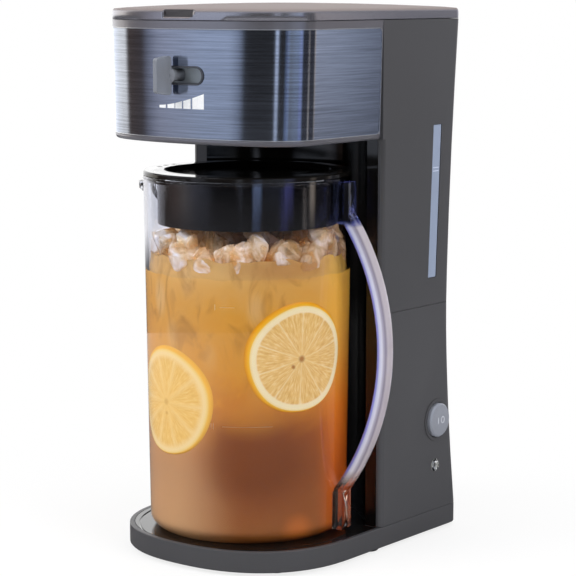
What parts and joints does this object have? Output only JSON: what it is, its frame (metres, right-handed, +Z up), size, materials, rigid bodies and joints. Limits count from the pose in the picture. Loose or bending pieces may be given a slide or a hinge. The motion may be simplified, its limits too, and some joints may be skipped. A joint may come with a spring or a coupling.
{
  "type": "iced tea maker",
  "caption": "Upright iced tea brewer: a D-shaped base, a column with a water tank and heater, a brew head with a strength lever, a hinged top lid and a clear handled jug with a lid.",
  "frame": {"origin": "centre of the seat that the jug stands on, where the jug's axis meets the top of the base", "axes": "+Z up, -Y towards the user, +X to the user's right, on the side of the switch"},
  "size_m": [0.1911, 0.228, 0.3783],
  "materials": {
    "housing": "satin charcoal moulding",
    "gloss_black": "polished black moulding",
    "inner_plastic": "fine matt black moulding",
    "panel": "dark steel brushed along its length",
    "bezel": "satin grey",
    "foot": "matt",
    "steel": "plain",
    "mesh": "fine mesh pressed to a cup",
    "tank": "clear, tinted",
    "window": "clear, frosted inside",
    "heater": "as cast",
    "clip": "zinc plated",
    "ceramic": "unglazed",
    "hose": "translucent silicone",
    "lens": "clear, faceted",
    "lever": "satin grey",
    "jug_clear": "clear moulding",
    "button": "satin grey"
  },
  "bodies": {
    "machine": {"base_housing": "housing", "seat_plate": "gloss_black", "bottom_plate": "inner_plastic", "rubber_feet": "foot", "base_screws": "steel", "lower_housing": "housing", "upper_housing": "housing", "front_liner": "gloss_black", "head_housing": "housing", "head_underside": "inner_plastic", "front_panel": "panel", "slot_bezel": "bezel", "brew_deck": "inner_plastic", "brew_basket": "inner_plastic", "brew_filter": "mesh", "water_tank": "tank", "water_window": "window", "heater_tube": "heater", "heater_clips": "clip", "heater_clip_screws": "steel", "thermostat": "ceramic", "thermal_fuse": "ceramic", "inlet_hose": "hose", "check_valve": "ceramic", "riser_hose": "hose", "spray_spout": "inner_plastic", "button_collar": "inner_plastic", "switch_body": "inner_plastic", "indicator_lens": "lens", "lamp_holder": "ceramic", "cord_gland": "inner_plastic", "hinge_pins": "steel"},
    "lid": {"top_lid": "housing", "lid_liner": "inner_plastic"},
    "strength_control": {"strength_lever": "lever", "strength_shutter": "lever"},
    "power_button": {"power_button": "button", "button_spring": "steel"},
    "pitcher": {"jug": "jug_clear", "jug_handle": "jug_clear"},
    "pitcher_lid": {"jug_lid": "inner_plastic"}
  },
  "joints": [
    {"name": "lid_hinge", "type": "hinge", "parent": "machine", "child": "lid", "pos_m": [0, 0.1373, 0.35035], "axis": [-1, 0, 0], "range_deg": [0, 100]},
    {"name": "strength_lever", "type": "hinge", "parent": "machine", "child": "strength_control", "pos_m": [0, 0, 0.3148], "axis": [0, 0, 1], "range_deg": [-4.5, 15.5]},
    {"name": "power_button", "type": "slide", "parent": "machine", "child": "power_button", "axis": [-1, 0, 0], "range_m": [0, 0.0025], "stiffness_N_per_m": 600, "deforming": ["button_spring"]},
    {"name": "pitcher_slide", "type": "slide", "parent": "machine", "child": "pitcher", "axis": [0, -1, 0], "range_m": [0, 0.2]},
    {"name": "pitcher_lid_turn", "type": "hinge", "parent": "pitcher", "child": "pitcher_lid", "pos_m": [0, 0, 0.2486], "axis": [0, 0, 1], "range_deg": [-90, 90]}
  ]
}
